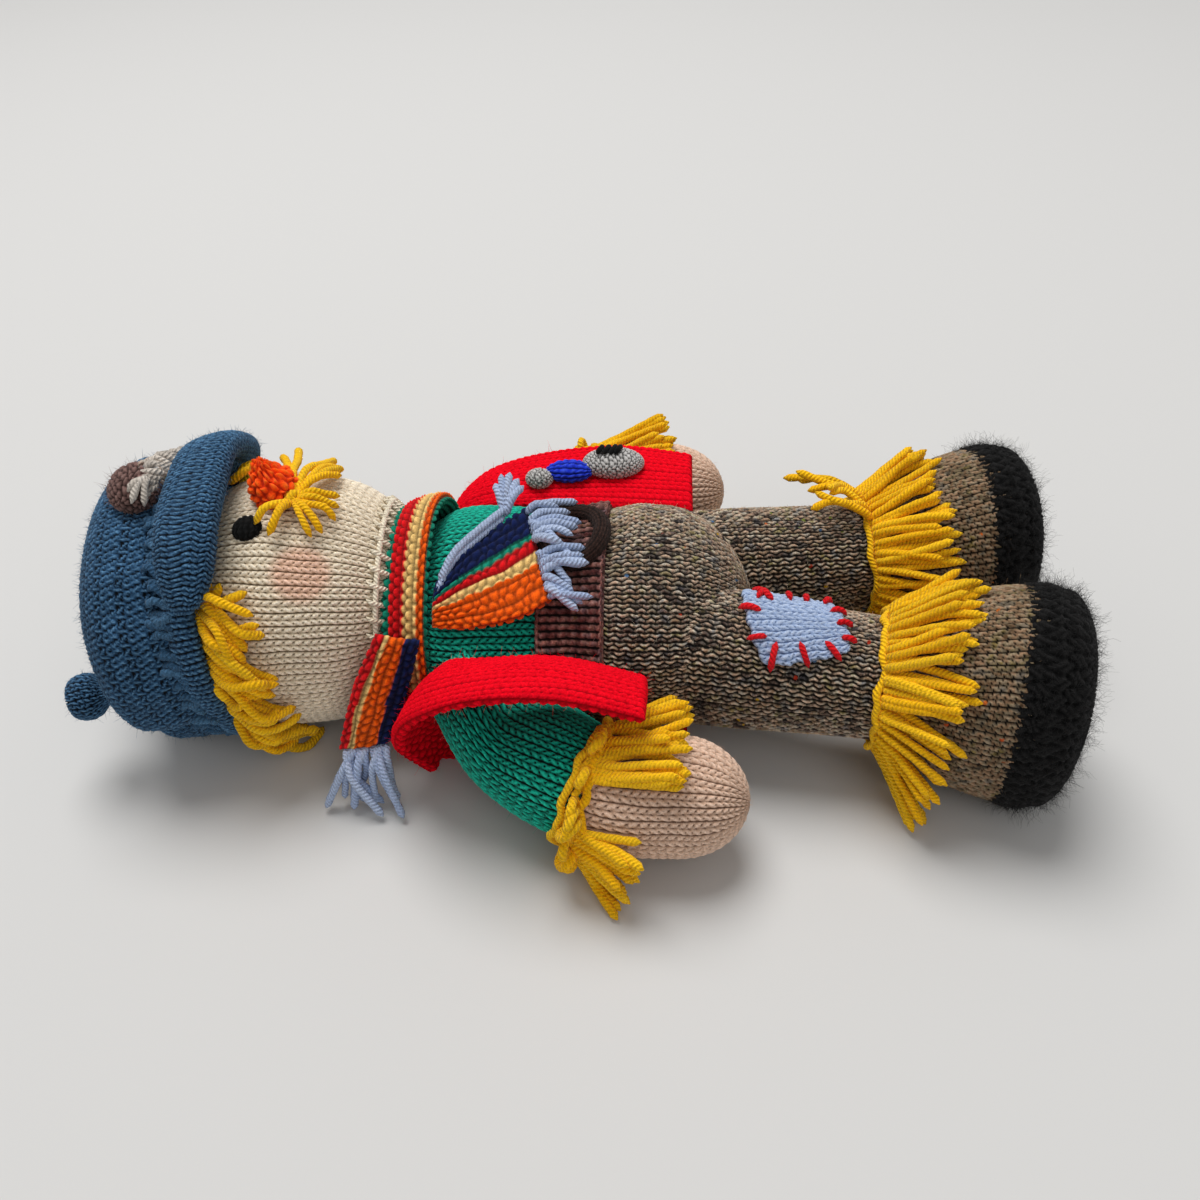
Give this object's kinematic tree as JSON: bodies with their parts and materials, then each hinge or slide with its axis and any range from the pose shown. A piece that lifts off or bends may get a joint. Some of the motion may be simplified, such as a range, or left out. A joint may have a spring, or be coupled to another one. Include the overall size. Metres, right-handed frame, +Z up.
{
  "type": "knitted scarecrow doll",
  "caption": "Stuffed knitted scarecrow lying on its back, with a blue hat, straw hair and cuffs, red waistcoat, striped scarf, belt, knee patch and boots.",
  "frame": {"origin": "on the floor under the waist, on the underside of the waistcoat's back", "axes": "+X from the head to the feet, +Y to the doll's left, +Z up out of its chest"},
  "size_m": [0.3511, 0.2173, 0.1152],
  "materials": {
    "cream_knit": "matte wool yarn",
    "steel_blue_knit": "matte wool yarn",
    "green_knit": "matte wool yarn",
    "red_knit": "matte wool yarn",
    "straw_yarn": "matte wool yarn",
    "orange_knit": "matte wool yarn",
    "tweed_knit": "matte wool yarn",
    "tan_tweed_knit": "matte wool yarn",
    "black_yarn": "matte wool yarn",
    "pink_knit": "matte wool yarn",
    "brown_knit": "matte wool yarn",
    "dark_brown_yarn": "matte wool yarn",
    "pale_blue_yarn": "matte wool yarn",
    "patch_blue_knit": "matte wool yarn",
    "grey_knit": "matte wool yarn",
    "bright_blue_yarn": "matte wool yarn"
  },
  "bodies": {
    "torso": {"torso_jumper": "green_knit", "trouser_seat": "tweed_knit", "belt": "brown_knit", "belt_buckle": "dark_brown_yarn", "vest_back": "red_knit", "vest_right_front": "red_knit", "vest_left_front": "red_knit", "mouse_head": "grey_knit", "mouse_nose": "black_yarn", "mouse_body": "bright_blue_yarn", "mouse_bobble": "grey_knit", "scarf_collar": "orange_knit"},
    "head": {"head": "cream_knit", "neck_gathering_yarn": "cream_knit", "nose": "orange_knit", "right_eye": "black_yarn", "left_eye": "black_yarn", "straw_moustache": "straw_yarn", "hat_crown": "steel_blue_knit", "hat_rim": "steel_blue_knit", "hat_peak": "steel_blue_knit", "hat_knob": "steel_blue_knit", "hat_pad": "brown_knit", "hat_leaf": "grey_knit", "right_hair": "straw_yarn", "left_hair": "straw_yarn"},
    "right_arm": {"right_sleeve": "green_knit", "right_hand": "pink_knit", "right_cuff_straw": "straw_yarn"},
    "left_arm": {"left_sleeve": "green_knit", "left_hand": "pink_knit", "left_cuff_straw": "straw_yarn"},
    "right_leg": {"right_leg": "tweed_knit", "right_boot": "tan_tweed_knit", "right_sole": "black_yarn", "right_ankle_straw": "straw_yarn", "knee_patch": "patch_blue_knit"},
    "left_leg": {"left_leg": "tweed_knit", "left_boot": "tan_tweed_knit", "left_sole": "black_yarn", "left_ankle_straw": "straw_yarn"},
    "front_tail": {"scarf_front_tail": "orange_knit", "front_tassels": "pale_blue_yarn"},
    "side_tail": {"scarf_side_tail": "orange_knit", "side_tassels": "pale_blue_yarn"}
  },
  "joints": [
    {"name": "head_turn", "type": "hinge", "parent": "torso", "child": "head", "pos_m": [-0.0673, 0, 0.046], "axis": [0.9962, 0.0499, -0.0714], "range_deg": [-35, 35]},
    {"name": "right_shoulder", "type": "hinge", "parent": "torso", "child": "right_arm", "pos_m": [-0.037, -0.038, 0.038], "axis": [0, 0, -1], "range_deg": [0, 22]},
    {"name": "left_shoulder", "type": "hinge", "parent": "torso", "child": "left_arm", "pos_m": [-0.037, 0.038, 0.038], "axis": [0, 0, 1], "range_deg": [0, 22]},
    {"name": "right_hip", "type": "hinge", "parent": "torso", "child": "right_leg", "pos_m": [0.039, -0.0225, 0.04008], "axis": [0, -1, 0], "range_deg": [0, 42]},
    {"name": "left_hip", "type": "hinge", "parent": "torso", "child": "left_leg", "pos_m": [0.039, 0.0225, 0.04008], "axis": [0, -1, 0], "range_deg": [0, 42]},
    {"name": "front_tail_lift", "type": "hinge", "parent": "torso", "child": "front_tail", "pos_m": [-0.052, -0.022, 0.07], "axis": [0, -1, 0], "range_deg": [0, 45]},
    {"name": "side_tail_swing", "type": "hinge", "parent": "torso", "child": "side_tail", "pos_m": [-0.072, -0.0445, 0.058], "axis": [-1, 0, 0], "range_deg": [0, 45]}
  ]
}
